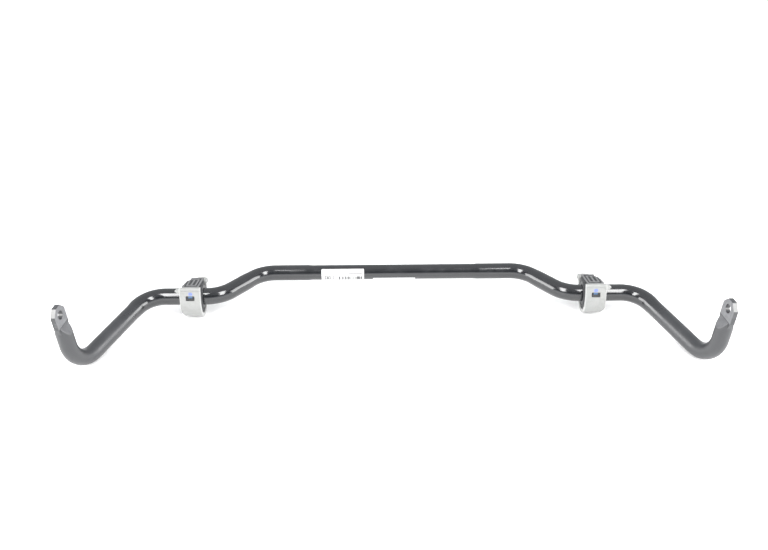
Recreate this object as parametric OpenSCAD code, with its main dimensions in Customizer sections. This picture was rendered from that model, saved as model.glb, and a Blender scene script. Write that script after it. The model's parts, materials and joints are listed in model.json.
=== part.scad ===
// Front sway bar with its two rubber bushes and cast clamp brackets.
// The bar lies as it rests on a floor: X runs along the bar, -Y is the side of the arms, Z is up.

/* [Bar] */
// Diameter where the bushes run
bush_run_d = 26; // [20:0.5:32]
// Diameter of the arms and the upright ends
arm_d = 24.5; // [18:0.5:30]
// Diameter of the middle run beside its waist
middle_d = 24.8; // [18:0.5:30]
// Diameter of the waist, the long thinner stretch in the middle
waist_d = 23.6; // [17:0.5:29]
// Length of the waist
waist_len = 257; // [150:1:340]
// Half the distance between the corners where the middle run ends
middle_x = 206.5; // [190:0.5:215]
// How far the middle run is set back from the bush axis
middle_back = 62; // [30:1:80]
// Height of the middle run's axis above the floor
middle_z = 34; // [26:1:50]
// Half the distance between the inner corners of the bush runs
inner_x = 264.5; // [258:0.5:268]
// Half the distance between the outer corners of the bush runs
outer_x = 377; // [372:1:400]
// Half the distance between the elbows
elbow_x = 451; // [435:1:475]
// How far the elbows stand in front of the bush axis
lever_arm = 153; // [120:1:190]
// Radius of the bar's four shallow bends, on its axis
run_bend_r = 50; // [40:1:55]
// Radius of the two bends into the arms
arm_bend_r = 45; // [35:1:55]
// Radius of the two elbows
elbow_bend_r = 38; // [30:1:50]

/* [Upright ends] */
// Height of the tips above the floor
tip_z = 113; // [105:1:130]
// How far each tip leans outward
tip_lean = 11; // [0:1:15]
// Thickness of the flattened end
blade_t = 7; // [6:0.5:12]
// Width of the flattened end
blade_w = 31; // [27:0.5:36]
// Turn of the flattened face towards the front, in degrees
blade_turn = 9; // [0:1:20]
// Diameter of the hole for the drop link's stud
link_hole_d = 12.5; // [8:0.1:14]
// Distance from the tip to the hole
link_hole_drop = 14; // [12:0.5:18]

/* [Mounts] */
// Distance from the middle of the bar to each bush
bush_x = 306; // [300:1:320]
// Lean of the mounting faces away from the arms, in degrees
base_lean = 15; // [0:0.5:20]
// Outer radius of the bracket's strap, which is also the height of the bush axis
strap_r = 30.5; // [28.5:0.5:34]
// Thickness of the strap
strap_t = 5.5; // [4:0.5:6]
// Width of the strap along the bar
strap_w = 31.5; // [28:0.5:33]
// Height of the strap's walls above the bush axis
strap_top = 22.2; // [20:0.1:22.2]
// Height of the bush's mounting face above its axis
base_z = 22.5; // [20.5:0.5:26]
// Diameter of the bolt hole in the rear ear
bolt_hole_d = 10.5; // [8.5:0.1:12.5]

/* [Labels] */
// Length of each of the two labels
label_len = 67; // [40:1:90]
// Thickness of a label
label_t = 0.15; // [0.1:0.05:0.3]

/* [Hidden] */
$fn = 96;

// Bush and shells inside a strap
bush_r = strap_r - strap_t;
shell_t = 3;
ear_top = 17;
ear_t = 6;
ear_r = 10.5;
shell_r = bush_run_d / 2 + 0.05;
bush_len = strap_w - 2.5;
rib_h = 1.2;
rib_w = 2.4;
collar = 2;

// The axis of the bush runs, placed so that the origin is the middle of the part's footprint
blade_reach = blade_w / 2 * cos(blade_turn) + blade_t / 2 * sin(blade_turn);
axis_y = (lever_arm + blade_reach - middle_back - middle_d / 2) / 2;

// Gap left between the runs and the bends of the bar, where the welds go
weld_gap = 0.1;

// Corner points of the right half's centreline
middle_start = [0, axis_y + middle_back, middle_z];
middle_corner = [middle_x, axis_y + middle_back, middle_z];
inner_corner = [inner_x, axis_y, strap_r];
outer_corner = [outer_x, axis_y, strap_r];
tip = [elbow_x + tip_lean, axis_y - lever_arm, tip_z];
elbow = [elbow_x, axis_y - lever_arm, elbow_height(8, 6)];

// Direction of the upright end and of its flattened face, which looks inward
rise = unit(tip - elbow);
face_plain = [-cos(blade_turn), -sin(blade_turn), 0];
face = unit(face_plain - (face_plain * rise) * rise);

function unit(v) = v / norm(v);
function side_of(v) = unit(cross(abs(v.z) < 0.9 ? [0, 0, 1] : [0, 1, 0], v));
function half_angle(p, q, s) = acos(unit(p - q) * unit(s - q)) / 2;
function bend_centre(p, q, s, r) = q + unit(unit(p - q) + unit(s - q)) * r / sin(half_angle(p, q, s));
function bend_start(p, q, s, r) = q + unit(p - q) * r / tan(half_angle(p, q, s));

// Lowest point of the elbow's centreline when its corner is at height z
function elbow_low(z) = let (
    q = [elbow_x, axis_y - lever_arm, z],
    normal = unit(cross(outer_corner - q, tip - q)))
    bend_centre(outer_corner, q, tip, elbow_bend_r).z - elbow_bend_r * sqrt(1 - normal.z * normal.z);

// Corner height at which the elbow just rests on the floor, found in a few steps
function elbow_height(z, steps) =
    steps == 0 ? z : elbow_height(z + arm_d / 2 - elbow_low(z), steps - 1);

// Puts children where their own x and z axes have the given directions
module place(origin, x_dir, z_dir) {
    y_dir = cross(z_dir, x_dir);
    multmatrix([
        [x_dir.x, y_dir.x, z_dir.x, origin.x],
        [x_dir.y, y_dir.y, z_dir.y, origin.y],
        [x_dir.z, y_dir.z, z_dir.z, origin.z]])
        children();
}

// Straight round run from p to q, turned from an outline of [distance from p, radius] points
module run(p, q, outline) {
    dir = unit(q - p);
    ends = [outline[0].x, outline[len(outline) - 1].x];
    place(p, side_of(dir), dir) rotate_extrude()
        polygon([[0, ends[0]], for (o = outline) [o.y, o.x], [0, ends[1]]]);
}

// Plain run from p to q that changes radius over a taper at its start
module tapered_run(p, q, r1, r2) {
    taper = 12;
    run(p, q, [[weld_gap, r1], [taper, r2], [norm(q - p) - weld_gap, r2]]);
}

// Runs stop just short of the bends, and a collar a hair proud of the tube joins the two
module weld(p, dir, tube_r) {
    place(p, side_of(dir), dir) cylinder(h = 10 * weld_gap, r = tube_r + 0.04, center = true);
}

// Bend of radius r in a tube of radius tube_r, round the corner q between p and s
module bend(p, q, s, r, tube_r) {
    centre = bend_centre(p, q, s, r);
    from = bend_start(p, q, s, r) - centre;
    to = bend_start(s, q, p, r) - centre;
    place(centre, unit(from), unit(cross(from, to)))
        rotate_extrude(angle = 180 - 2 * half_angle(p, q, s)) translate([r, 0]) circle(r = tube_r);
}

// The right half, or the left half as its mirror image
module half(side) {
    if (side > 0) children();
    else mirror([1, 0, 0]) children();
}

// Everything beyond the middle run, on the right
module bar_half() {
    middle_r = middle_d / 2;
    bush_run_r = bush_run_d / 2;
    arm_r = arm_d / 2;
    a1 = bend_start(middle_start, middle_corner, inner_corner, run_bend_r);
    a2 = bend_start(inner_corner, middle_corner, middle_start, run_bend_r);
    b1 = bend_start(middle_corner, inner_corner, outer_corner, run_bend_r);
    b2 = bend_start(outer_corner, inner_corner, middle_corner, run_bend_r);
    c1 = bend_start(inner_corner, outer_corner, elbow, arm_bend_r);
    c2 = bend_start(elbow, outer_corner, inner_corner, arm_bend_r);
    e1 = bend_start(outer_corner, elbow, tip, elbow_bend_r);
    e2 = bend_start(tip, elbow, outer_corner, elbow_bend_r);
    bend(middle_start, middle_corner, inner_corner, run_bend_r, middle_r);
    tapered_run(a2, b1, middle_r, bush_run_r);
    bend(middle_corner, inner_corner, outer_corner, run_bend_r, bush_run_r);
    run(b2, c1, [[weld_gap, bush_run_r], [norm(c1 - b2) - weld_gap, bush_run_r]]);
    bend(inner_corner, outer_corner, elbow, arm_bend_r, bush_run_r);
    tapered_run(c2, e1, bush_run_r, arm_r);
    bend(outer_corner, elbow, tip, elbow_bend_r, arm_r);
    forged_end(norm(tip - e2) - weld_gap);
    link = unit(inner_corner - middle_corner);
    arm = unit(elbow - outer_corner);
    weld(a1, [1, 0, 0], middle_r);
    weld(a2, link, middle_r);
    weld(b1, link, bush_run_r);
    for (p = [b2, c1]) weld(p, [1, 0, 0], bush_run_r);
    weld(c2, arm, bush_run_r);
    weld(e1, arm, arm_r);
    weld(e2, rise, arm_r);
}

// Middle run with its thinner waist, between the two corners
module middle_run() {
    p = bend_start(middle_start, middle_corner, inner_corner, run_bend_r);
    shoulder = 3;
    waist = [p.x - waist_len / 2, p.x + waist_len / 2];
    run([-p.x, p.y, p.z], p, [
        [weld_gap, middle_d / 2], [waist[0] - shoulder, middle_d / 2],
        [waist[0], waist_d / 2], [waist[1], waist_d / 2],
        [waist[1] + shoulder, middle_d / 2], [2 * p.x - weld_gap, middle_d / 2]]);
}

// Upright end: round up to the flattened blade, with sloping flats between them.
// Inside, x is the way the blade faces, z runs along the bar and the tip is at zero.
module forged_end(stem) {
    flat_z = -30;
    round_z = -45;
    slope = atan((arm_d - blade_t) / 2 / (flat_z - round_z));
    place(tip, face, rise) difference() {
        union() {
            difference() {
                translate([0, 0, -stem]) cylinder(h = stem + flat_z + 2, d = arm_d);
                for (turn = [0, 180])
                    rotate([0, 0, turn]) flat_cut(blade_t / 2, flat_z, slope);
            }
            blade(flat_z, round_z);
        }
        translate([0, 0, -link_hole_drop]) rotate([0, 90, 0])
            cylinder(h = 3 * blade_t, d = link_hole_d, center = true);
    }
}

// Space cut away above a plane that leans out from x at height z
module flat_cut(x, z, slope) {
    translate([x, 0, z]) rotate([0, -slope, 0]) translate([0, -arm_d, -60])
        cube([arm_d, 2 * arm_d, 120]);
}

// Flattened end with its cropped top corners, narrowing into the round stem
module blade(flat_z, round_z) {
    w = blade_w / 2;
    crop = 10;
    foot = arm_d / 2 - 2;
    translate([-blade_t / 2, 0, 0]) rotate([90, 0, 90]) linear_extrude(blade_t) polygon([
        [-foot, round_z], [foot, round_z], [w, flat_z], [w, -crop], [w - crop, 0],
        [-w + crop, 0], [-w, -crop], [-w, flat_z]]);
}

module bar() {
    color([0.08, 0.08, 0.09]) {
        middle_run();
        for (side = [-1, 1]) half(side) bar_half();
    }
}

// Paper label round the waist, from one angle up the front to another below it
module label(x, top_angle, bottom_angle) {
    color([0.93, 0.93, 0.92])
        translate([x, middle_corner.y, middle_z]) rotate([0, 90, 0])
            rotate([0, 0, 180 + 90 - top_angle])
                rotate_extrude(angle = top_angle - bottom_angle)
                    translate([waist_d / 2, -label_len / 2]) square([label_t, label_len]);
}

// A mount's own frame: the bush axis is x with +x outward, and z is square to its mounting face
module on_mount(side) {
    half(side) translate([bush_x, axis_y, strap_r]) rotate([-base_lean, 0, 0]) children();
}

// Extrudes a drawing whose x is the frame's y and whose y is its z
module along_x(len) {
    rotate([90, 0, 90]) linear_extrude(len, center = true) children();
}

// Round below the axis and straight-sided above it
module cup_outline(r, top) {
    difference() {
        union() {
            circle(r = r);
            translate([-r, 0]) square([2 * r, top]);
        }
        translate([-2 * r, top]) square([4 * r, 2 * r]);
    }
}

module bracket() {
    lip = 1.2;
    window = [13, 3 * strap_t, 7.5];
    color([0.78, 0.78, 0.76]) difference() {
        union() {
            along_x(strap_w) difference() {
                union() {
                    cup_outline(strap_r, strap_top);
                    translate([-strap_r - lip, strap_top - 4.5]) square([2 * (strap_r + lip), 4.5]);
                }
                cup_outline(bush_r, strap_top + 1);
            }
            rear_ear();
            front_tab();
        }
        translate([-window.x / 2, -strap_r - strap_t, 1.7]) cube(window);
        outer_step();
        // The rear wall ends level with the ear
        translate([-strap_w, 0, ear_top]) cube([2 * strap_w, 2 * strap_r, strap_r]);
    }
}

// Space cut away below the strap's outer edge, which is shallower and cropped
module outer_step() {
    x = strap_w / 2;
    step_z = -strap_r + 3;
    translate([0, strap_r + 1, 0]) rotate([90, 0, 0]) linear_extrude(2 * strap_r + 2)
        polygon([[x + 1, step_z + 10], [x, step_z + 10], [x - 4.5, step_z], [x - 9, step_z],
                 [x - 10, -strap_r - 1], [x + 1, -strap_r - 1]]);
}

// Flange behind the strap with the bolt hole
module rear_ear() {
    bolt = bolt_at();
    wall_y = bush_r + strap_t / 2;
    translate([0, 0, ear_top - ear_t]) linear_extrude(ear_t) difference() {
        union() {
            translate(bolt) circle(r = ear_r);
            translate([bolt.x - ear_r, wall_y]) square([2 * ear_r, bolt.y - wall_y]);
        }
        translate(bolt) circle(d = bolt_hole_d);
    }
    // Web under the flange
    translate([bolt.x, 0, 0]) rotate([90, 0, 90]) linear_extrude(5, center = true)
        polygon([[wall_y, -12], [wall_y, ear_top - 1], [wall_y + 5, ear_top - 1]]);
}

function bolt_at() = [-5.6, strap_r + 9];

// Small locating tab beside the top of the front wall, pointing outward
module front_tab() {
    x = strap_w / 2;
    translate([0, -bush_r, 0]) rotate([90, 0, 0]) linear_extrude(strap_t + 1.2)
        polygon([[x - 2, 20.5], [x + 4.5, 20.5], [x + 7, 17.5], [x + 3, 14], [x - 2, 14]]);
}

// Bush body as a full block with a round collar at each end, to be split at the axis
module bush_block(top) {
    difference() {
        union() {
            along_x(bush_len - 2 * collar) cup_outline(bush_r, top);
            along_x(bush_len) difference() {
                circle(r = bush_r - 0.5);
                translate([-bush_r, top]) square(2 * bush_r);
            }
        }
        along_x(2 * bush_len) circle(r = shell_r + shell_t);
    }
}

// Half of the bush inside the mounting face, with the ribs and the lug that locks in the window
module bush_base() {
    lug = [12.4, strap_t - 0.6, 6.9];
    top = base_z - rib_h;
    color([0.16, 0.16, 0.17]) {
        difference() {
            union() {
                bush_block(top);
                ribs(top);
            }
            translate([-strap_w, -strap_r, -2 * strap_r]) cube([2 * strap_w, 2 * strap_r, 2 * strap_r]);
            rear_corner_cut();
        }
        difference() {
            translate([-lug.x / 2, -bush_r - lug.y, 2]) cube([lug.x, lug.y + 2, lug.z]);
            translate([-lug.x, -bush_r - lug.y - 1, 4.7]) cube([2 * lug.x, 2, 1.5]);
        }
    }
}

// Raised frame and middle bars on the mounting face
module ribs(top) {
    x = bush_len / 2 - collar;
    y = bush_r;
    translate([0, 0, top - 0.01]) linear_extrude(rib_h + 0.01) {
        difference() {
            square([2 * x, 2 * y], center = true);
            square([2 * (x - rib_w), 2 * (y - rib_w)], center = true);
        }
        difference() {
            square([x + 3, y + 8], center = true);
            square([x + 3 - 2 * rib_w, y + 8 - 2 * rib_w], center = true);
        }
        square([rib_w, y + 8], center = true);
    }
}

// The mounting face runs in towards the rear on its outer side
module rear_corner_cut() {
    x = bush_len / 2;
    translate([0, 0, shell_r + shell_t + 0.5]) linear_extrude(base_z)
        polygon([[x + 1, -bush_r + 8], [x + 1, bush_r + 1], [x - 8, bush_r + 1]]);
}

// Half of the bush inside the round of the strap
module bush_cup() {
    color([0.12, 0.12, 0.13]) difference() {
        bush_block(1);
        translate([-strap_w, -strap_r, 0]) cube([2 * strap_w, 2 * strap_r, strap_r]);
    }
}

// Half of the hard sleeve that the bar turns in, above or below the axis
module shell_half(turn) {
    color([0.3, 0.3, 0.31]) rotate([turn, 0, 0]) rotate([0, 90, 0]) rotate([0, 0, 90])
        rotate_extrude(angle = 180) translate([shell_r, -strap_w / 2]) square([shell_t, strap_w]);
}

bar();
label(-78.4, 56, -75);  // part_label
label(2.5, -22, -100);  // code_label
on_mount(-1) bracket();  // left_bracket
on_mount(-1) bush_base();  // left_bush_base
on_mount(-1) bush_cup();  // left_bush_cup
on_mount(-1) shell_half(0);  // left_upper_shell
on_mount(-1) shell_half(180);  // left_lower_shell
on_mount(1) bracket();  // right_bracket
on_mount(1) bush_base();  // right_bush_base
on_mount(1) bush_cup();  // right_bush_cup
on_mount(1) shell_half(0);  // right_upper_shell
on_mount(1) shell_half(180);  // right_lower_shell
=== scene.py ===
import bpy, bmesh, json, math
from mathutils import Matrix, Vector, noise


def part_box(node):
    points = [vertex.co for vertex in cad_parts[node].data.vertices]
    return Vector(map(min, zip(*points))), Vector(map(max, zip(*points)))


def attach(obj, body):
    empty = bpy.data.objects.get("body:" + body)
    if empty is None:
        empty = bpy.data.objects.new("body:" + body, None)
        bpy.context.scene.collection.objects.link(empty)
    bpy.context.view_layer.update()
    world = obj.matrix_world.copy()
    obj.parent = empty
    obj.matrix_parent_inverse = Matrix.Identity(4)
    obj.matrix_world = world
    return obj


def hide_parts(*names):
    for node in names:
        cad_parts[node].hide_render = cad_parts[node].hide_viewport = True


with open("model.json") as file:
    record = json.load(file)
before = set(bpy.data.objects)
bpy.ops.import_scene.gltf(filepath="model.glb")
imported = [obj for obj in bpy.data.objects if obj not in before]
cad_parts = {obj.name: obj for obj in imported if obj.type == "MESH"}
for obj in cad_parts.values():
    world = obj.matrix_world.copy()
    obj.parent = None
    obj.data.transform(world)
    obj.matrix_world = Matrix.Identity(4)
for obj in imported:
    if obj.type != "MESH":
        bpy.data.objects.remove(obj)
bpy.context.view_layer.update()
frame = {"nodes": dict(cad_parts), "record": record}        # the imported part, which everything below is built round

mountOf = {m["name"]: m for m in frame["record"]["mounts"]}
jointOf = {j["name"]: j for j in frame["record"]["behaviour"]["joints"]}
mm = 0.001               # lengths are in millimetres unless a note says metres
print("frame loaded:", len(frame["nodes"]), "nodes")


# a node's socket that can be used in sums
class Wire:
    def __init__(self, bench, socket):
        self.bench = bench
        self.socket = socket

    def sum(self, operation, first, second=None, clamp=False):
        values = {0: first} if second is None else {0: first, 1: second}
        settings = {"operation": operation, "use_clamp": clamp}
        return self.bench.add("ShaderNodeMath", settings, values)["Value"]

    def __add__(self, other): return self.sum("ADD", self, other)
    def __radd__(self, other): return self.sum("ADD", other, self)
    def __sub__(self, other): return self.sum("SUBTRACT", self, other)
    def __rsub__(self, other): return self.sum("SUBTRACT", other, self)
    def __mul__(self, other): return self.sum("MULTIPLY", self, other)
    def __rmul__(self, other): return self.sum("MULTIPLY", other, self)
    def __gt__(self, other): return self.sum("GREATER_THAN", self, other)
    def __lt__(self, other): return self.sum("LESS_THAN", self, other)
    def __abs__(self): return self.sum("ABSOLUTE", self)
    def floor(self): return self.sum("FLOOR", self)
    def clamped(self): return self.sum("MULTIPLY", self, 1.0, clamp=True)
    def between(self, low, high): return (self > low) * (self < high)

    # 0 at low and 1 at high, with soft ends
    def step(self, low, high):
        settings = {"interpolation_type": "SMOOTHSTEP"}
        return self.bench.add("ShaderNodeMapRange", settings,
                              {"Value": self, "From Min": low, "From Max": high})["Result"]


# the nodes of one material or of the world
class Bench:
    def __init__(self, tree):
        self.tree = tree

    def add(self, kind, settings=None, values=None):
        node = self.tree.nodes.new(kind)
        for key, setting in (settings or {}).items():
            setattr(node, key, setting)
        for key, value in (values or {}).items():
            socket = node.inputs[key] if isinstance(key, int) else next(
                s for s in node.inputs if s.name == key and s.enabled)
            if isinstance(value, Wire):
                self.tree.links.new(value.socket, socket)
            elif socket.type == "RGBA" and len(value) == 3:
                socket.default_value = (*value, 1)
            else:
                socket.default_value = value
        return {s.name: Wire(self, s) for s in node.outputs if s.enabled}

    def mix(self, mask, first, second):
        return self.add("ShaderNodeMix", {"data_type": "RGBA"},
                        {"Factor": mask, "A": first, "B": second})["Result"]

    def grain(self, where, size, detail=3.0, rough=0.55, stretch=(1, 1, 1)):
        spread = self.add("ShaderNodeVectorMath", {"operation": "MULTIPLY"},
                          {0: where, 1: [s / size for s in stretch]})["Vector"]
        values = {"Vector": spread, "Scale": 1.0, "Detail": detail, "Roughness": rough}
        return self.add("ShaderNodeTexNoise", {"noise_dimensions": "3D"}, values)["Fac"]

    # a number that the mesh carries on its points
    def carried(self, name):
        return self.add("ShaderNodeAttribute", {"attribute_name": name})["Fac"]

    # a fresh level between 0 and 1 for every step along
    def stripes(self, along, perMillimetre):
        return self.add("ShaderNodeTexWhiteNoise", {"noise_dimensions": "1D"},
                        {"W": (along * perMillimetre).floor()})["Value"]

    # position on the object, in millimetres
    def place(self):
        objectCoords = self.add("ShaderNodeTexCoord")["Object"]
        return self.add("ShaderNodeVectorMath", {"operation": "SCALE"},
                        {0: objectCoords, "Scale": 1000.0})["Vector"]

    def split(self, where):
        parts = self.add("ShaderNodeSeparateXYZ", None, {0: where})
        return parts["X"], parts["Y"], parts["Z"]

    # distance is in metres
    def bump(self, height, distance, strength):
        return self.add("ShaderNodeBump", None, {"Height": height, "Distance": distance,
                                                 "Strength": strength})["Normal"]


def newMaterial(name, paint):
    material = bpy.data.materials.new(name)
    material.use_nodes = True
    material.node_tree.nodes.clear()
    bench = Bench(material.node_tree)
    shader = paint(bench)
    bench.add("ShaderNodeOutputMaterial", None, {"Surface": shader["BSDF"]})
    return material


# numbers on a mesh's points that its material reads
def pointValues(mesh, name, values):
    attribute = mesh.attributes.new(name, "FLOAT", "POINT")
    attribute.data.foreach_set("value", values)


# shows a mesh in place of a CAD node
def newPiece(name, mesh, material, body, node):
    piece = bpy.data.objects.new(name, mesh)
    bpy.context.scene.collection.objects.link(piece)
    mesh.materials.clear()
    mesh.materials.append(material)
    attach(piece, body)
    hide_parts(node)


# runs modifiers on a mesh and gives the mesh that comes out
def modelled(mesh, modifiers):
    blank = bpy.data.objects.new("blank", mesh)
    bpy.context.scene.collection.objects.link(blank)
    for kind, settings in modifiers:
        modifier = blank.modifiers.new(kind.lower(), kind)
        for key, value in settings.items():
            setattr(modifier, key, value)
    bpy.context.view_layer.update()
    worked = blank.evaluated_get(bpy.context.evaluated_depsgraph_get())
    result = bpy.data.meshes.new_from_object(worked)
    bpy.data.objects.remove(blank)
    return result


def smoothShaded(mesh, sharpAngle=None):
    mesh.polygons.foreach_set("use_smooth", [True] * len(mesh.polygons))
    if sharpAngle:
        mesh.set_sharp_from_angle(angle=math.radians(sharpAngle))
    mesh.update()


# a share held between 0 and 1
def within(share):
    return min(max(share, 0), 1)


def partWay(first, second, share):
    return first + (second - first) * share


# least and greatest of two numbers, with the corner rounded over a width
def softMin(a, b, width):
    overlap = max(width - abs(a - b), 0) / width
    return min(a, b) - overlap * overlap * width / 4


def softMax(a, b, width):
    return -softMin(-a, -b, width)


camera = {
    "azimuth": -0.16,        # degrees, 0 looks along +Y
    "elevation": 31.2,
    "roll": -0.45,
    "distance": 1.576,       # metres
    "target": (-0.0133, 0.1060, 0.030),
    "focal": 46.5,
    "sensor": 36,
    "clipStart": 0.05,       # metres
}


def placeCamera():
    turn, lift = math.radians(camera["azimuth"]), math.radians(camera["elevation"])
    back = Vector((math.sin(turn) * math.cos(lift), -math.cos(turn) * math.cos(lift),
                   math.sin(lift)))
    cameraData = bpy.data.cameras.new("viewCamera")
    cameraData.lens = camera["focal"]
    cameraData.sensor_width = camera["sensor"]
    cameraData.clip_start = camera["clipStart"]
    holder = bpy.data.objects.new("viewCamera", cameraData)
    bpy.context.scene.collection.objects.link(holder)
    roll = Matrix.Rotation(math.radians(camera["roll"]), 4, "Z")
    holder.matrix_world = (Matrix.Translation(Vector(camera["target"]) + back * camera["distance"])
                           @ back.to_track_quat("Z", "Y").to_matrix().to_4x4() @ roll)
    bpy.context.scene.camera = holder


# places and sizes here are in metres, and each lamp stands on the left and on the right
studio = {
    "floorSize": 9.0,
    "floorDrop": 0.0002,
    "floorColour": (0.92, 0.92, 0.92),
    "floorGlow": 0.16,
    "lamps": {
        "Strip": {"place": (0.94, -1.38, 1.80), "aim": (0.30, 0.04, 0.03),
                  "size": (0.56, 1.95), "power": 42.0},
        "StripLow": {"place": (1.70, -0.25, 0.62), "aim": (-0.40, -0.05, 0.03),
                     "size": (1.40, 1.10), "power": 32.0},
    },
    "skyColour": (0.96, 0.98, 1.0),
    "overheadTilt": (0.97, 0.24),        # shares of y and z in the way that the overhead part faces
    "overheadEdge": 0.15,                # how softly that part begins
    "footEdge": (0.10, 0.30),            # heights between which the sky changes over
    "frontEdge": (0.45, 0.80),
    "overheadLight": 0.90,               # brightness above and behind the part
    "frontLight": 0.55,                  # in front of it, above the camera
    "cameraLight": 0.18,                 # round the camera
    "footLight": 1.6,                    # and near the horizon
}


def placeLamp(name, side, settings):
    lampData = bpy.data.lights.new(name, "AREA")
    lampData.shape = "RECTANGLE"
    lampData.size, lampData.size_y = settings["size"]
    lampData.energy = settings["power"]
    lamp = bpy.data.objects.new(name, lampData)
    bpy.context.scene.collection.objects.link(lamp)
    place, aim = (Vector((side * x, y, z)) for x, y, z in (settings["place"], settings["aim"]))
    lamp.location = place
    lamp.rotation_euler = (place - aim).to_track_quat("Z", "Y").to_euler()


def buildFloor():
    floorMesh = bpy.data.meshes.new("floor")
    half = studio["floorSize"] / 2
    corners = [(-half, -half, 0), (half, -half, 0), (half, half, 0), (-half, half, 0)]
    floorMesh.from_pydata(corners, [], [(0, 1, 2, 3)])
    floor = bpy.data.objects.new("floor", floorMesh)
    bpy.context.scene.collection.objects.link(floor)
    floor.location.z = -studio["floorDrop"]
    floorMesh.materials.append(newMaterial("paleFloor", lambda bench: bench.add(
        "ShaderNodeBsdfPrincipled", None,
        {"Base Color": studio["floorColour"], "Roughness": 0.9, "Specular IOR Level": 0.1,
         "Emission Color": (1, 1, 1), "Emission Strength": studio["floorGlow"]})))


# brightness of the sky in each direction, which the gloss of the bar reflects
def buildSky():
    world = bpy.data.worlds.new("studioSky")
    world.use_nodes = True
    world.node_tree.nodes.clear()
    sky = Bench(world.node_tree)
    _, y, z = sky.split(sky.add("ShaderNodeTexCoord")["Generated"])
    shareY, shareZ = studio["overheadTilt"]
    overhead = (y * shareY + z * shareZ).step(-studio["overheadEdge"], studio["overheadEdge"])
    foot = 1 - z.step(*studio["footEdge"])
    high = z.step(*studio["frontEdge"])
    front = high * studio["frontLight"] + (1 - high) * studio["cameraLight"]
    front = front * (1 - foot) + foot * studio["footLight"]
    brightness = front * (1 - overhead) + overhead * studio["overheadLight"]
    background = sky.add("ShaderNodeBackground", None,
                         {"Color": studio["skyColour"], "Strength": brightness})
    sky.add("ShaderNodeOutputWorld", None, {"Surface": background["Background"]})
    bpy.context.scene.world = world


def buildStudio():
    buildFloor()
    for side, name in ((-1, "left"), (1, "right")):
        for lamp, settings in studio["lamps"].items():
            placeLamp(name + lamp, side, settings)
    buildSky()
    bpy.context.scene.view_settings.view_transform = "Standard"
    print("camera and studio set")


bar = {
    "bushRunRadius": 13.0, "armRadius": 12.25, "middleRadius": 12.4, "waistRadius": 11.8,
    "waistHalf": 128.5, "shoulder": 3.0,     # the waist's half length and the step at its end
    "taper": 12.0,                           # length of the change from one radius to the next
    "linkTaper": 21.3, "armTaper": 28.3,     # and where it starts, beyond the bend's corner
    "middleCorner": (206.5, 62.0, 34.0),     # x, set back from the bush axis, height
    "innerCorner": 264.5, "outerCorner": 377.0, "elbow": 451.0,      # x of the other corners
    "tipLean": 11.0,
    "runBend": 50.0, "armBend": 45.0, "elbowBend": 38.0,
    "forgedLength": 60.0, "forgedFrom": 430.0,     # below the tip, and least x
    "bladeThick": 7.0, "bladeWidth": 31.0,
    "bladeInset": 2.0,                       # how far the blade's foot lies inside the stem
    "crop": 10.0,
    "holeRadius": 6.25, "holeDrop": 14.0, "holeChamfer": 0.5,
    "flatFrom": 30.0, "flatTo": 45.0,        # where the sloping flats start and end below the tip
    "cornerRound": 1.5, "facetRound": 0.7, "tipRound": 0.8, "cropRound": 2.0,
    "segments": 128, "holeSegments": 48,
    "squareFrom": 8.0, "squareOver": 12.0,   # below the flats, where rings turn square to the blade
    "runSpacing": 4.0, "tipSpacing": 0.5, "bendStep": 2.5,           # the last in degrees
}


# corners of the right half's centreline, from the middle of the bar to the tip
def barCorners():
    hinge = Vector(jointOf["right_mount_turn"]["pos_m"]) / mm
    hole = Vector(mountOf["right_link_hole"]["pos_m"]) / mm
    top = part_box("bar")[1][2] / mm
    # the leaning blade's upper corner stands less than a millimetre above the tip's centre
    tip = Vector((bar["elbow"] + bar["tipLean"], hole.y, math.floor(top)))
    x, back, height = bar["middleCorner"]
    rise = tip - hole
    elbow = tip - rise * ((tip.x - bar["elbow"]) / rise.x)
    return [Vector((0, hinge.y + back, height)), Vector((x, hinge.y + back, height)),
            Vector((bar["innerCorner"], hinge.y, hinge.z)),
            Vector((bar["outerCorner"], hinge.y, hinge.z)), elbow, tip]


# points and directions along the right half of the centreline, and its corners
def barLine():
    corners = barCorners()
    bends = [bar["runBend"], bar["runBend"], bar["armBend"], bar["elbowBend"]]
    stations = []
    start = corners[0]
    for before, corner, after, radius in zip(corners, corners[1:], corners[2:], bends):
        toBefore, toAfter = (before - corner).normalized(), (after - corner).normalized()
        halfAngle = toBefore.angle(toAfter) / 2
        centre = corner + (toBefore + toAfter).normalized() * radius / math.sin(halfAngle)
        bendStart = corner + toBefore * radius / math.tan(halfAngle)
        bendEnd = corner + toAfter * radius / math.tan(halfAngle)
        straightRun(stations, start, bendStart, bar["runSpacing"])
        axis = (bendStart - centre).cross(bendEnd - centre).normalized()
        sweep = math.pi - 2 * halfAngle
        steps = round(math.degrees(sweep) / bar["bendStep"])
        for k in range(steps):
            turn = Matrix.Rotation(sweep * k / steps, 3, axis)
            stations.append((centre + turn @ (bendStart - centre), turn @ -toBefore))
        start = bendEnd
    straightRun(stations, start, corners[-1], bar["tipSpacing"])
    stations.append((corners[-1], (corners[-1] - start).normalized()))
    return stations, corners


# adds the stations of a straight stretch, without its end
def straightRun(stations, start, end, spacing):
    direction = (end - start).normalized()
    steps = math.ceil((end - start).length / spacing)
    for k in range(steps):
        stations.append((start.lerp(end, k / steps), direction))


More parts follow.
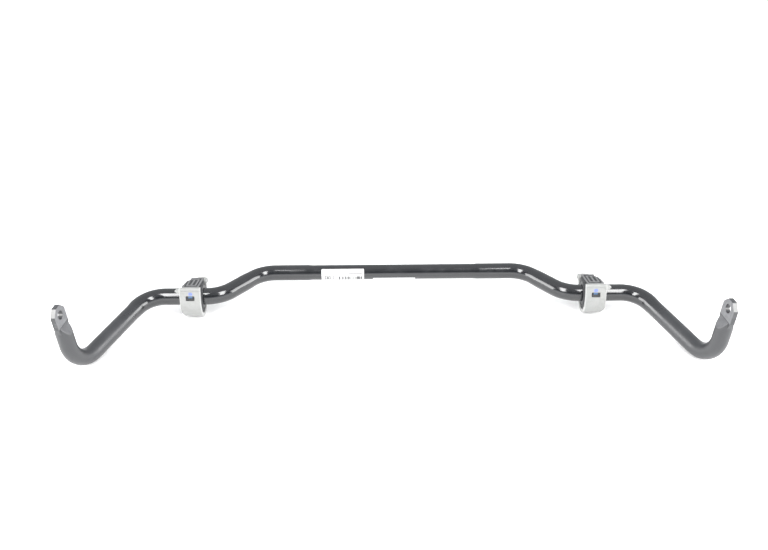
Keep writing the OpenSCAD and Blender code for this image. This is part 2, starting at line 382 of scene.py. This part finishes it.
# radius of the round stretches at a place on the centreline
def roundRadius(place, corners):
    link, arm = (corners[2] - corners[1]).normalized(), (corners[4] - corners[3]).normalized()
    if place.x < corners[1].x:
        shoulder = within((place.x - bar["waistHalf"]) / bar["shoulder"])
        return partWay(bar["waistRadius"], bar["middleRadius"], shoulder)
    if place.x < corners[2].x:
        start = corners[1] + link * bar["linkTaper"]
        return partWay(bar["middleRadius"], bar["bushRunRadius"],
                       within((place - start).dot(link) / bar["taper"]))
    if place.y > corners[3].y - 1:
        return bar["bushRunRadius"]
    start = corners[3] + arm * bar["armTaper"]
    return partWay(bar["bushRunRadius"], bar["armRadius"],
                   within((place - start).dot(arm) / bar["taper"]))


# half the blade's width at a drop below the tip, with its cropped corners
def bladeHalfWidth(drop, stemRadius):
    foot = stemRadius - bar["bladeInset"]
    share = within((bar["flatTo"] - drop) / (bar["flatTo"] - bar["flatFrom"]))
    halfWidth = partWay(foot, bar["bladeWidth"] / 2, share)
    return softMin(halfWidth, bar["bladeWidth"] / 2 - bar["crop"] + drop, bar["cropRound"])


# angles round a ring: even on the round bar, drawn up to the blade's edges on the forged end
def ringAngles(drop, stemRadius, onStem):
    count = bar["segments"]
    even = [2 * math.pi * k / count for k in range(count)]
    pull = within((bar["flatTo"] + bar["squareFrom"] - drop) / bar["squareOver"]) if onStem else 0
    if not pull:
        return even
    quarter, faceSteps = count // 4, count * 5 // 32     # most of a quarter goes to the face
    half, width = bar["bladeThick"] / 2, bladeHalfWidth(drop, stemRadius)
    drawn = []
    for k in range(quarter):
        if k <= faceSteps:
            drawn.append(math.atan2(width * k / faceSteps, half))
        else:
            drawn.append(math.atan2(width, half * (quarter - k) / (quarter - faceSteps)))
    full = drawn + [math.pi / 2] + [math.pi - a for a in drawn[:0:-1]]
    full += [math.pi + a for a in full]
    return [partWay(a, b, pull) for a, b in zip(even, full)]


# distance from the axis to the forged end's surface, at an angle from the way the blade faces
def forgedRadius(angle, drop, stemRadius):
    across, wide = abs(math.cos(angle)) + 1e-6, abs(math.sin(angle)) + 1e-6    # never 0
    slope = (stemRadius - bar["bladeThick"] / 2) / (bar["flatTo"] - bar["flatFrom"])
    flat = bar["bladeThick"] / 2 + max(drop - bar["flatFrom"], 0) * slope
    stem = softMin(stemRadius, flat / across, bar["facetRound"])
    blade = softMin(bar["bladeThick"] / 2 / across, bladeHalfWidth(drop, stemRadius) / wide,
                    bar["cornerRound"])
    if drop < bar["flatFrom"]:
        return blade
    return softMax(stem, blade, bar["facetRound"])


def barMesh():
    stations, corners = barLine()
    count = bar["segments"]
    tip = corners[-1]
    rise = (corners[-1] - corners[-2]).normalized()
    facing = -Vector(mountOf["right_link_hole"]["axis"])
    facing = (facing - rise * facing.dot(rise)).normalized()
    # the ring's start is carried back from the tip, so that the blade is square to its face
    starts = [facing]
    for (_, direction), (_, following) in zip(stations[-2::-1], stations[:0:-1]):
        starts.append(following.rotation_difference(direction) @ starts[-1])
    starts.reverse()
    rings = []
    for (place, direction), start in zip(stations, starts):
        side = direction.cross(start)
        drop = (tip - place).dot(rise)
        onStem = place.x > corners[4].x - 2 and drop < bar["forgedLength"]
        stemRadius = roundRadius(place, corners)
        inset = 0.0
        if onStem and drop < bar["tipRound"]:
            r = bar["tipRound"]
            inset = r - math.sqrt(r ** 2 - (r - drop) ** 2)
        ring = []
        for angle in ringAngles(drop, stemRadius, onStem):
            radius = forgedRadius(angle, drop, stemRadius) if onStem else stemRadius
            ring.append((place + (math.cos(angle) * start + math.sin(angle) * side)
                         * (radius - inset)) * mm)
        rings.append(ring)
    solid = bmesh.new()
    rows = [[solid.verts.new(point) for point in ring] for ring in rings]
    for low, high in zip(rows, rows[1:]):
        for k in range(count):
            solid.faces.new((low[k], low[(k + 1) % count], high[(k + 1) % count], high[k]))
    solid.faces.new(rows[-1])
    # the open end is closed by the mirror image of this half
    mesh = bpy.data.meshes.new("barHalf")
    solid.to_mesh(mesh)
    solid.free()
    cutter = holeCutter()
    whole = modelled(mesh, [
        ("BOOLEAN", {"object": cutter, "operation": "DIFFERENCE", "solver": "EXACT"}),
        ("MIRROR", {"use_axis": (True, False, False), "use_mirror_merge": True,
                    "merge_threshold": 0.02 * mm})])
    bpy.data.objects.remove(cutter)
    return whole, tip, facing, rise


# a spool that leaves a small chamfer at both mouths of the link hole
def holeCutter():
    mount = mountOf["right_link_hole"]
    radius, half, chamfer = bar["holeRadius"], bar["bladeThick"] / 2, bar["holeChamfer"]
    past = 3                 # beyond each face, still opening at 45 degrees
    outline = [(-half - past, radius + past + chamfer), (-half + chamfer, radius),
               (half - chamfer, radius), (half + past, radius + past + chamfer)]
    count = bar["holeSegments"]
    spool = bmesh.new()
    rows = []
    for along, r in outline:
        rows.append([spool.verts.new((r * mm * math.cos(2 * math.pi * k / count),
                                      r * mm * math.sin(2 * math.pi * k / count), along * mm))
                     for k in range(count)])
    for low, high in zip(rows, rows[1:]):
        for k in range(count):
            spool.faces.new((low[k], low[(k + 1) % count], high[(k + 1) % count], high[k]))
    spool.faces.new(rows[0][::-1])
    spool.faces.new(rows[-1])
    mesh = bpy.data.meshes.new("holeCutter")
    spool.to_mesh(mesh)
    spool.free()
    cutter = bpy.data.objects.new("holeCutter", mesh)
    bpy.context.scene.collection.objects.link(cutter)
    cutter.matrix_world = (Matrix.Translation(Vector(mount["pos_m"]))
                           @ Vector(mount["axis"]).to_track_quat("Z", "Y").to_matrix().to_4x4())
    return cutter


barFinish = {
    "black": (0.0075, 0.0083, 0.0100), "dusty": (0.017, 0.018, 0.0205),
    # the flat colour is a painted sheen, laid on the pressed flats of the forged ends
    "primer": (0.075, 0.076, 0.082), "flat": (0.17, 0.172, 0.18), "matt": (0.016, 0.0168, 0.0200),
    # the steel and groove colours paint a reflection as pale, finely grooved steel
    "glintSteel": (0.30, 0.30, 0.297), "groove": (0.20, 0.20, 0.20),
    "peelSize": 2.2, "dustSize": 16.0, "speckSize": 0.8, "streakSize": 5.0, "grooveSize": 0.35,
    "ior": 1.75, "bumpDepth": 0.05 * mm,
    "wear": 0.25, "forgedWear": 0.35,        # worn paint all over, and on the forged ends
    "tipWear": 0.4, "tipWearLength": 6, "rimWear": 0.4, "rimWearWidth": 1.2,
    "mattFrom": 20.0, "mattOver": 50.0,      # y where the arms start to lose their gloss
    "glintReach": 0.9, "glintTop": 0.7,      # how far the painted reflection runs past its corner, and its distance below the tip
    "glintSoft": 0.5,                        # distance below the tip
    "boreGlint": (3.0, 1.2), "boreInset": 0.3,          # the band in the hole that carries the painted reflection, low in it
    # how near a pressed flat a point must lie for the painted sheen, the share of it on the sloping flat, and the
    # width of the painted shade along the crease
    "flatFit": 0.4, "slopeSheenShare": 0.62, "creaseShadeWidth": 0.9,
}


# semi-gloss chassis black; where the mesh says so, a pale steel-coloured painted reflection on the cropped corners
# and in the holes, a painted sheen on the pressed flats and painted shade along the crease between them
def paintBar(bench):
    where = bench.place()
    finish = barFinish
    glintMask, rub, sheen = (bench.carried(n) for n in ("steelGlint", "edgeRub", "flatSheen"))
    creaseDark, matt = bench.carried("creaseShade"), bench.carried("mattArm")
    peel = bench.grain(where, finish["peelSize"], 2.0)
    dust = bench.grain(where, finish["dustSize"], 6.0, 0.65)
    specks = bench.grain(where, finish["speckSize"], 1.0).step(0.73, 0.80)
    streaks = bench.grain(where, finish["streakSize"], 4.0, 0.6, stretch=(0.25, 1, 1))
    # the painted reflection has a ragged edge, with a fringe of primer grey round it that is painted too
    ragged = glintMask + (dust - 0.5) * 0.4
    glint = ragged.step(0.45, 0.55)
    glintFringe = ragged.step(0.15, 0.40) - glint
    worn = (rub * 0.9 + (streaks - 0.5) * 1.3).step(0.66, 0.84)
    black = bench.mix(dust.step(0.42, 0.75) * 0.6, finish["black"], finish["dusty"])
    black = bench.mix(matt * (0.8 + (dust - 0.5) * 1.2), black, finish["matt"])
    black = bench.mix(specks * 0.3, black, finish["primer"])
    # painted sheen: the pressed flats are painted lighter and streaky, the sloping one less
    black = bench.mix(sheen * (0.7 + (streaks - 0.5) * 0.9), black, finish["flat"])
    # painted shade: the crease between the two flats is painted back to black
    black = bench.mix(creaseDark.step(0.2, 0.8) * 0.9, black, finish["black"])
    black = bench.mix((worn * 0.5 + glintFringe * 0.6).clamped(), black, finish["primer"])
    # painted reflection: pale grooved steel where the mesh marks it
    grooves = bench.grain(where, finish["grooveSize"], 2.0, 0.5, stretch=(1, 1, 0.08))
    glintSteel = bench.mix(grooves.step(0.3, 0.7) * 0.5, finish["glintSteel"], finish["groove"])
    colour = bench.mix(glint, black, glintSteel)
    roughness = (0.11 + dust.step(0.35, 0.8) * 0.08 + worn * 0.2 + glint * 0.45 + sheen * 0.14
                 + matt * 0.27)
    height = peel * 0.5 + dust * 0.5 + glint * (grooves - 2.0)
    return bench.add("ShaderNodeBsdfPrincipled", None, {
        "Base Color": colour, "Roughness": roughness, "Metallic": glint * 0.2, "IOR": finish["ior"],
        "Normal": bench.bump(height, finish["bumpDepth"], 0.35)})


def buildBar():
    mesh, tip, facing, rise = barMesh()
    wide = rise.cross(facing)
    half = bar["bladeWidth"] / 2
    slope = (bar["armRadius"] - bar["bladeThick"] / 2) / (bar["flatTo"] - bar["flatFrom"])
    finish, soft = barFinish, barFinish["glintSoft"]
    bandAt, bandHalf = finish["boreGlint"]
    glint, rub, sheens, creaseShades, matts = [], [], [], [], []
    for vertex in mesh.vertices:
        place = vertex.co / mm
        local = Vector((abs(place.x), place.y, place.z)) - tip
        drop, across, side = -local.dot(rise), abs(local.dot(facing)), local.dot(wide)
        onBlade = drop < bar["forgedLength"] and abs(place.x) > bar["forgedFrom"]
        # the cropped corner towards the arms' side carries a painted reflection in pale steel, and so does a band low
        # in the hole
        edge = within((side - half + bar["crop"] - drop + finish["glintReach"]) / soft)
        span = within((drop - finish["glintTop"]) / soft) * within((bar["crop"] - drop) / soft)
        bore = (math.hypot(drop - bar["holeDrop"], side) < bar["holeRadius"] + 0.1
                and across < bar["bladeThick"] / 2 - finish["boreInset"]
                and abs(drop - bar["holeDrop"] - bandAt) < bandHalf)
        glint.append(max(edge * span, float(bore)) if onBlade else 0.0)
        # how nearly the point lies on a pressed flat, which gets a painted sheen, weaker on the sloping one, with
        # painted shade along the crease between
        rest = drop - bar["flatFrom"]
        depth = across - bar["bladeThick"] / 2 - max(rest, 0) * slope
        onFlat = onBlade and drop > bar["tipRound"]
        flat = within(1 - abs(depth) / finish["flatFit"]) if onFlat else 0.0
        sheens.append(flat * (1.0 if rest < 0 else finish["slopeSheenShare"]))
        # painted shade along the crease where the two flats meet
        creaseShades.append(flat * max(1 - abs(rest) / finish["creaseShadeWidth"], 0))
        # the arms and elbows have lost more of their gloss than the rest
        matts.append(within((finish["mattFrom"] - place.y) / finish["mattOver"]))
        worn = finish["wear"]
        if onBlade:
            atTip = max(0, 1 - drop / finish["tipWearLength"])
            atRim = abs(side) > half - finish["rimWearWidth"] and drop < bar["flatFrom"]
            worn = finish["forgedWear"] + finish["tipWear"] * atTip + finish["rimWear"] * atRim
        rub.append(worn)
    pointValues(mesh, "steelGlint", glint)
    pointValues(mesh, "edgeRub", rub)
    pointValues(mesh, "flatSheen", sheens)
    pointValues(mesh, "creaseShade", creaseShades)
    pointValues(mesh, "mattArm", matts)
    smoothShaded(mesh, 32)
    newPiece("swayBar", mesh, newMaterial("chassisBlack", paintBar), "bar", "bar")
    print("bar built:", len(mesh.polygons), "faces")


# a copy of a CAD solid with every edge rolled over a little
def rolledCopy(node, voxel, passes):
    mesh = frame["nodes"][node].data.copy()
    mesh.name = node + "Rolled"
    mesh = modelled(mesh, [
        ("REMESH", {"mode": "VOXEL", "voxel_size": voxel, "use_smooth_shade": True}),
        ("SMOOTH", {"factor": 0.5, "iterations": passes})])
    smoothShaded(mesh)
    return mesh


# the mount's own frame: its turning axis, and the ways outward, back and square to the face
def mountFrame(side):
    hinge = Vector(jointOf[side + "_mount_turn"]["pos_m"])
    up = Vector(mountOf[side + "_mounting_face"]["axis"]).normalized()
    out = Vector((-1 if side == "left" else 1, 0, 0))
    back = Vector((0, up.z, -up.y))
    return hinge, out, back, up


# where the points of a mesh lie in the mount's own frame, in millimetres
def mountPlaces(mesh, side):
    hinge, out, back, up = mountFrame(side)
    places = []
    for vertex in mesh.vertices:
        offset = vertex.co - hinge
        places.append(Vector((offset.dot(out), offset.dot(back), offset.dot(up))) / mm)
    return places


bracket = {
    "voxel": 0.6 * mm, "passes": 7,
    "ripple": 0.10 * mm, "rippleSize": 6, "rippleSeed": {"left": 3.0, "right": 11.0},
    "strapRadius": 29,                       # the ridge and the band lie outside this
    "ridgeAt": 1.5, "ridgeWidth": 0.45, "ridgeHeight": 0.16,
    "bandFrom": 7.0, "bandStep": 0.8, "bandBelow": -3, "bandDepth": 0.35,
    "rimAt": 15.4, "rimWidth": 0.7, "rimRadius": 24,
    "dabAt": (-0.6, 12.6), "dabSize": (3.6, 3.0),    # across and up the window's upper edge
    "dabFront": -27, "dabSpan": (9.2, 16.5),
}
bracketFinish = {
    "pale": (0.315, 0.318, 0.311), "shade": (0.262, 0.265, 0.256), "pit": (0.22, 0.22, 0.21),
    # the edge colour paints the rims brighter: rubbed wear, and a painted highlight where they catch the light
    "edge": (0.56, 0.56, 0.555), "dab": (0.10, 0.16, 0.55),
    "sandSize": 0.55, "skinSize": 2.6, "cloudSize": 14.0, "pitSize": 1.1,
    "bumpDepth": 0.22 * mm,
}


# sand-cast light alloy: a pale, faintly pitted skin, painted brighter along the rims, partly for rubbed wear and
# partly as a painted highlight
def paintBracket(bench):
    where = bench.place()
    finish = bracketFinish
    edge, dab = bench.carried("rimRubAndGlint"), bench.carried("paintDab")
    sand = bench.grain(where, finish["sandSize"], 3.0, 0.7)
    skin = bench.grain(where, finish["skinSize"], 5.0, 0.6)
    clouds = bench.grain(where, finish["cloudSize"], 3.0)
    pits = bench.grain(where, finish["pitSize"], 1.0).step(0.69, 0.76)
    dabMask = (dab + (skin - 0.5) * 1.0).step(0.45, 0.7)
    shade = (clouds * 0.6 + skin * 0.4).step(0.35, 0.68) * 0.6
    colour = bench.mix(shade, finish["pale"], finish["shade"])
    colour = bench.mix(sand.step(0.25, 0.45), bench.mix(0.55, colour, finish["pit"]), colour)
    colour = bench.mix(pits * 0.8, colour, finish["pit"])
    # rims painted brighter: rubbed wear and a painted highlight
    colour = bench.mix(edge * 0.7, colour, finish["edge"])
    colour = bench.mix(dabMask * 0.75, colour, finish["dab"])
    height = sand * 0.6 + skin * 0.7 - pits * 0.9
    return bench.add("ShaderNodeBsdfPrincipled", None, {
        "Base Color": colour, "Roughness": 0.52 + sand * 0.16 - edge * 0.12,
        "Metallic": 0.15 - dabMask * 0.15,
        "Normal": bench.bump(height, finish["bumpDepth"], 0.8)})


def buildBracket(side, material):
    node = side + "_bracket"
    mesh = rolledCopy(node, bracket["voxel"], bracket["passes"])
    _, _, back, up = mountFrame(side)
    places = mountPlaces(mesh, side)
    normals = [vertex.normal.copy() for vertex in mesh.vertices]
    seed = Vector((bracket["rippleSeed"][side], 0, 0))
    (dabX, dabZ), (dabWide, dabHigh), (dabLow, dabTop) = (bracket["dabAt"], bracket["dabSize"],
                                                          bracket["dabSpan"])
    edges, dabs = [], []
    for vertex, normal, place in zip(mesh.vertices, normals, places):
        radial = math.hypot(place.y, place.z)
        onStrap = radial > bracket["strapRadius"]
        # parting ridge round the strap, under the window
        ridge = math.exp(-((place.x - bracket["ridgeAt"]) / bracket["ridgeWidth"]) ** 2)
        ridge *= (place.z < 0) * onStrap
        # outer band lies a touch lower
        band = within((place.x - bracket["bandFrom"]) / bracket["bandStep"])
        band *= (place.z < bracket["bandBelow"]) * onStrap
        raised = bracket["ridgeHeight"] * ridge - bracket["bandDepth"] * band
        away = (back * place.y + up * place.z).normalized()
        ripple = noise.noise(place / bracket["rippleSize"] + seed)
        vertex.co += away * raised * mm + normal * ripple * bracket["ripple"]
        # the rims take rubbed wear and a painted highlight
        rim = max(0, 1 - abs(abs(place.x) - bracket["rimAt"]) / bracket["rimWidth"])
        edges.append(rim * (radial > bracket["rimRadius"]))
        dabHere = place.y < bracket["dabFront"] and dabLow < place.z < dabTop
        dabs.append(math.exp(-((place.x - dabX) / dabWide) ** 2
                             - ((place.z - dabZ) / dabHigh) ** 4) if dabHere else 0.0)
    pointValues(mesh, "rimRubAndGlint", edges)
    pointValues(mesh, "paintDab", dabs)
    mesh.update()
    newPiece(side + "CastBracket", mesh, material, side + "_mount", node)


bush = {
    "voxel": 0.55 * mm, "passes": 4,
    "crown": 0.7 * mm, "crownFrom": 13.6, "crownStep": 0.8,      # how far out the end faces bulge
    "crownInner": 16.5, "crownWidth": 8.0,
    # height above which the rib tops take a painted highlight, and how softly it starts
    "ribTopHighlight": 21.6, "ribStep": 0.6,
    "lugFront": -25.6, "markAt": -0.6, "markHalf": 3.0, "markAbove": 5.8,
}
rubberFinish = {
    # the rib colour is a painted highlight on the tops of the ribs
    "deep": (0.016, 0.017, 0.018), "bloom": (0.07, 0.071, 0.074), "ribHighlight": (0.19, 0.19, 0.195),
    "dust": (0.22, 0.22, 0.22), "mark": (0.08, 0.16, 0.30),
    "mouldSize": 0.8, "bloomSize": 6.0, "dustSize": 1.6,
    "specular": 0.45, "bumpDepth": 0.12 * mm,
}


# moulded rubber with a grey bloom, and a painted highlight on top of the ribs
def paintRubber(bench):
    where = bench.place()
    finish = rubberFinish
    top, mark = bench.carried("ribTopHighlight"), bench.carried("paintDab")
    mould = bench.grain(where, finish["mouldSize"], 4.0, 0.6)
    bloom = bench.grain(where, finish["bloomSize"], 6.0, 0.65)
    dust = bench.grain(where, finish["dustSize"], 3.0, 0.7).step(0.58, 0.72)
    colour = bench.mix(bloom.step(0.35, 0.75) * 0.8, finish["deep"], finish["bloom"])
    # painted highlight: the tops of the ribs are painted paler
    colour = bench.mix(top * 0.75, colour, finish["ribHighlight"])
    colour = bench.mix(dust * 0.30, colour, finish["dust"])
    marked = (mark + (mould - 0.5) * 0.6).step(0.45, 0.7) * 0.7
    colour = bench.mix(marked, colour, finish["mark"])
    return bench.add("ShaderNodeBsdfPrincipled", None, {
        "Base Color": colour, "Roughness": 0.55 + bloom * 0.25,
        "Specular IOR Level": finish["specular"],
        "Normal": bench.bump(mould * 0.5 + bloom, finish["bumpDepth"], 0.7)})


def buildBush(side, half, material):
    node = side + "_bush_" + half
    mesh = rolledCopy(node, bush["voxel"], bush["passes"])
    _, out, _, _ = mountFrame(side)
    topHighlights, marks = [], []
    for vertex, place in zip(mesh.vertices, mountPlaces(mesh, side)):
        radial = math.hypot(place.y, place.z)
        # the end faces bulge between the strap and the shells
        end = within((abs(place.x) - bush["crownFrom"]) / bush["crownStep"])
        ring = within((radial - bush["crownInner"]) / bush["crownWidth"])
        bulge = max(0, math.sin(math.pi * ring))
        vertex.co += out * math.copysign(1, place.x) * end * bulge * bush["crown"]
        # the tops of the ribs carry a painted highlight
        topHighlights.append(within((place.z - bush["ribTopHighlight"]) / bush["ribStep"]))
        marked = (place.y < bush["lugFront"] and place.z > bush["markAbove"]
                  and abs(place.x - bush["markAt"]) < bush["markHalf"])
        marks.append(0.9 if marked else 0.0)
    pointValues(mesh, "ribTopHighlight", topHighlights)
    pointValues(mesh, "paintDab", marks)
    mesh.update()
    newPiece(side + "Bush" + half.capitalize(), mesh, material, side + "_mount",
             node)


shell = {
    "bore": 13.05, "outer": 16.0, "half": 15.75, "flange": 17.6, "flangeThick": 1.1,
    "chamfer": 0.4,
    "gap": 0.006,                            # radians left at the split
    "steps": 48,
}
shellFinish = {
    "deep": (0.05, 0.05, 0.052), "pale": (0.105, 0.105, 0.11),
    "flowSize": 3.0, "fineSize": 0.5, "bumpDepth": 0.08 * mm,
}


# hard dark plastic with faint flow marks
def paintShell(bench):
    where = bench.place()
    flow = bench.grain(where, shellFinish["flowSize"], 4.0, 0.6)
    fine = bench.grain(where, shellFinish["fineSize"], 2.0)
    colour = bench.mix(flow.step(0.35, 0.7) * 0.6, shellFinish["deep"], shellFinish["pale"])
    return bench.add("ShaderNodeBsdfPrincipled", None, {
        "Base Color": colour, "Roughness": 0.38 + flow * 0.2,
        "Normal": bench.bump(fine * 0.4 + flow, shellFinish["bumpDepth"], 0.6)})


# half of the hard sleeve: a chamfered half ring with a low flange at each end
def buildShell(side, half, material):
    hinge, out, back, up = mountFrame(side)
    inner, outer, rim = shell["bore"], shell["outer"], shell["flange"]
    end, lip, c = shell["half"], shell["flangeThick"], shell["chamfer"]
    outline = [(-end + c, inner), (end - c, inner), (end, inner + c), (end, rim - c),
               (end - c / 2, rim), (end - lip, rim), (end - lip, outer), (-end + lip, outer),
               (-end + lip, rim), (-end + c / 2, rim), (-end, rim - c), (-end, inner + c)]
    start = shell["gap"] if half == "upper" else math.pi + shell["gap"]
    sleeve = bmesh.new()
    rows = []
    for k in range(shell["steps"] + 1):
        angle = start + (math.pi - 2 * shell["gap"]) * k / shell["steps"]
        radialWay = back * math.cos(angle) + up * math.sin(angle)
        rows.append([sleeve.verts.new(hinge + (out * x + radialWay * r) * mm) for x, r in outline])
    count = len(outline)
    for low, high in zip(rows, rows[1:]):
        for k in range(count):
            sleeve.faces.new((low[k], high[k], high[(k + 1) % count], low[(k + 1) % count]))
    sleeve.faces.new(rows[0])
    sleeve.faces.new(rows[-1][::-1])
    bmesh.ops.recalc_face_normals(sleeve, faces=sleeve.faces)
    mesh = bpy.data.meshes.new(side + half.capitalize() + "Shell")
    sleeve.to_mesh(mesh)
    sleeve.free()
    smoothShaded(mesh, 30)
    newPiece(side + half.capitalize() + "Shell", mesh, material, side + "_mount",
             side + "_" + half + "_shell")


# angles are in degrees up from the front of the waist
label = {
    "thick": 0.15, "corner": 1.2,
    "lift": 0.12, "liftReach": 1.5, "liftSize": 9,       # how the edges curl off the bar
    "glue": 0.02,
    "steps": 66, "rounds": 40,
    "part": {"top": 56.0, "bottom": -75.0}, "code": {"top": -22.0, "bottom": -100.0},
}
labelFinish = {
    "paper": (0.60, 0.60, 0.595), "smudge": (0.50, 0.50, 0.495), "ink": (0.03, 0.03, 0.033),
    "fibreSize": 0.5, "smudgeSize": 7.0, "bumpDepth": 0.04 * mm,
}


# printed rules, a framed mark and bars, none of them lettering
def paintLabel(bench, printed):
    where = bench.place()
    finish = labelFinish
    along, down = bench.carried("printAlong"), bench.carried("printDown")
    fibre = bench.grain(where, finish["fibreSize"], 4.0, 0.6)
    smudge = bench.grain(where, finish["smudgeSize"], 4.0)
    paper = bench.mix(smudge.step(0.5, 0.8) * 0.25, finish["paper"], finish["smudge"])
    ink = printed(bench, along, down)
    colour = bench.mix((ink * (0.9 + (fibre - 0.5) * 0.4)).clamped(), paper, finish["ink"])
    return bench.add("ShaderNodeBsdfPrincipled", None, {
        "Base Color": colour, "Roughness": 0.42 + fibre * 0.15,
        "Normal": bench.bump(fibre + smudge * 1.5, finish["bumpDepth"], 0.5)})


# both prints are laid out in millimetres along the label and down it from its top edge
def partPrint(bench, along, down):
    ruleLeft = along.between(4, 30) * down.between(7.2, 8.2)
    ruleRight = along.between(43, 64) * down.between(6.9, 7.9)
    frameOut = along.between(5.6, 14.0) * down.between(11.0, 19.5)
    frameIn = along.between(6.7, 12.9) * down.between(12.1, 18.4)
    diamond = (abs(along - 9.8) + abs(down - 15.2)) < 2.7
    divider = along.between(18.0, 18.9) * down.between(10.6, 20.4)
    striped = bench.stripes(along, 1.3) > 0.36
    bars = along.between(27.0, 64.0) * down.between(12.2, 20.4) * striped
    footer = along.between(27.0, 64.0) * down.between(22.0, 22.6)
    return ruleLeft + ruleRight + (frameOut - frameIn) + diamond + divider + bars + footer


def codePrint(bench, along, down):
    striped = bench.stripes(along, 1.4) > 0.5
    bars = along.between(6, 60) * down.between(6.0, 13.5) * striped
    tick = along.between(33, 37) * down.between(3.0, 3.5)
    return bars + tick


# a thin sleeve with rounded corners that lifts a little along its edges
def buildLabel(name, node, angles, printed):
    low, high = (Vector(c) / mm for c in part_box(node))
    _, axisY, axisZ = barCorners()[0]
    radius = bar["waistRadius"] + label["glue"]
    height = math.radians(angles["top"] - angles["bottom"]) * radius
    length = high.x - low.x
    steps, rounds = label["steps"], label["rounds"]
    sheet = bmesh.new()
    grid, along, down = [], [], []
    for i in range(steps + 1):
        row = []
        for j in range(rounds + 1):
            x, y = length * i / steps, height * j / rounds
            # corners pull in to a round
            r = label["corner"]
            dx, dy = max(r - x, x - length + r, 0), max(r - y, y - height + r, 0)
            reach = math.hypot(dx, dy)
            if dx > 0 and dy > 0 and reach > r:
                x += (1 if x < r else -1) * (dx - dx * r / reach)
                y += (1 if y < r else -1) * (dy - dy * r / reach)
            # its edges lift unevenly off the bar
            margin = min(x, length - x, y)
            wave = noise.noise(Vector((x / label["liftSize"], y / label["liftSize"], low.x)))
            lift = label["lift"] * math.exp(-margin / label["liftReach"]) * (0.5 + wave)
            angle = math.radians(angles["top"]) - y / radius
            out = radius + max(lift, 0) + label["thick"] / 2
            row.append(sheet.verts.new(Vector((low.x + x, axisY - out * math.cos(angle),
                                               axisZ + out * math.sin(angle))) * mm))
            along.append(x)
            down.append(y)
        grid.append(row)
    for left, right in zip(grid, grid[1:]):
        for j in range(rounds):
            sheet.faces.new((left[j], left[j + 1], right[j + 1], right[j]))
    mesh = bpy.data.meshes.new(name)
    sheet.to_mesh(mesh)
    sheet.free()
    pointValues(mesh, "printAlong", along)
    pointValues(mesh, "printDown", down)
    mesh = modelled(mesh, [("SOLIDIFY", {"thickness": label["thick"] * mm, "offset": 0.0})])
    smoothShaded(mesh, 40)
    material = newMaterial(name + "Stock", lambda bench: paintLabel(bench, printed))
    newPiece(name, mesh, material, "bar", node)


placeCamera()
buildStudio()
buildBar()
bracketMaterial = newMaterial("sandCast", paintBracket)
rubberMaterial = newMaterial("mouldedRubber", paintRubber)
shellMaterial = newMaterial("hardSleeve", paintShell)
for side in ("left", "right"):
    buildBracket(side, bracketMaterial)
    for half in ("base", "cup"):
        buildBush(side, half, rubberMaterial)
    for half in ("upper", "lower"):
        buildShell(side, half, shellMaterial)
    print(side, "mount built")
buildLabel("partLabel", "part_label", label["part"], partPrint)
buildLabel("codeLabel", "code_label", label["code"], codePrint)
print("labels built")
